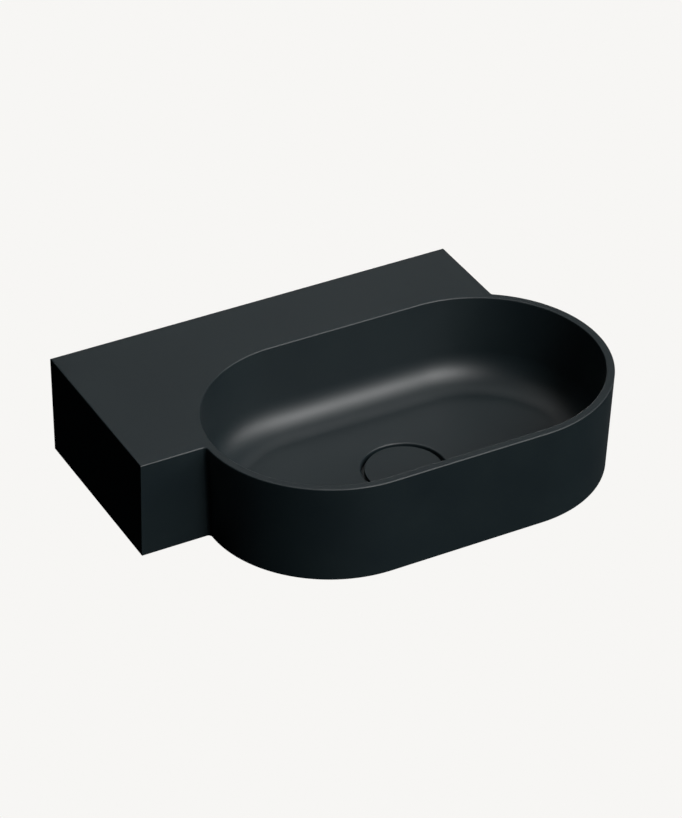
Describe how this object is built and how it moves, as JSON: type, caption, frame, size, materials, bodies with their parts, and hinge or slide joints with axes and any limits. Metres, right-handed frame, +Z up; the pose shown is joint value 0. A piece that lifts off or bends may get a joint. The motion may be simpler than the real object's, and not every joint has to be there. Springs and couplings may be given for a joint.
{
  "type": "wall-hung washbasin",
  "caption": "Matte black wall-hung washbasin: a rectangular shelf with a stadium-shaped bowl standing out in front and past its right end, and a covered push-open waste.",
  "frame": {"origin": "on the wall plane, midway between the two hanger bolts, 70 mm above the basin's underside", "axes": "+X along the wall to the right as seen from the room, +Y into the wall, +Z up"},
  "size_m": [0.6, 0.479, 0.192],
  "materials": {
    "cast_composite": "matte black cast mineral composite with a smooth gel coat",
    "chromed_brass": "polished chrome on brass",
    "zinc_steel": "zinc plated",
    "spring_steel": "drawn wire",
    "rubber": "matte",
    "white_nylon": "satin",
    "grey_nylon": "satin",
    "black_plastic": "satin"
  },
  "bodies": {
    "basin": {"basin": "cast_composite", "waste_body": "chromed_brass", "flange_gasket": "rubber", "under_gasket": "rubber", "slip_washer": "white_nylon", "lock_nut": "chromed_brass", "cartridge_housing": "grey_nylon", "cartridge_spring": "spring_steel", "left_wall_plug": "grey_nylon", "left_hanger_bolt": "zinc_steel", "left_bolt_bush": "white_nylon", "left_bolt_washer": "zinc_steel", "left_bolt_nut": "zinc_steel", "left_nut_cap": "white_nylon", "right_wall_plug": "grey_nylon", "right_hanger_bolt": "zinc_steel", "right_bolt_bush": "white_nylon", "right_bolt_washer": "zinc_steel", "right_bolt_nut": "zinc_steel", "right_nut_cap": "white_nylon"},
    "plug": {"plunger": "white_nylon", "plug_stem": "zinc_steel", "stem_nut": "zinc_steel", "plug_disc": "chromed_brass", "plug_seal": "rubber", "cover_insert": "chromed_brass", "drain_cover": "cast_composite"},
    "cam": {"cam_ring": "black_plastic"}
  },
  "joints": [
    {"name": "plug_lift", "type": "slide", "parent": "basin", "child": "plug", "axis": [0, 0, 1], "range_m": [0, 0.008], "deforming": ["cartridge_spring"]},
    {"name": "cam_turn", "type": "hinge", "parent": "plug", "child": "cam", "pos_m": [0.041, -0.25, -0.107], "axis": [0, 0, 1], "range_deg": [0, 45]}
  ],
  "couplings": [
    {"joint": "cam_turn", "follows": "plug_lift", "rad_per_m": 98.1}
  ]
}
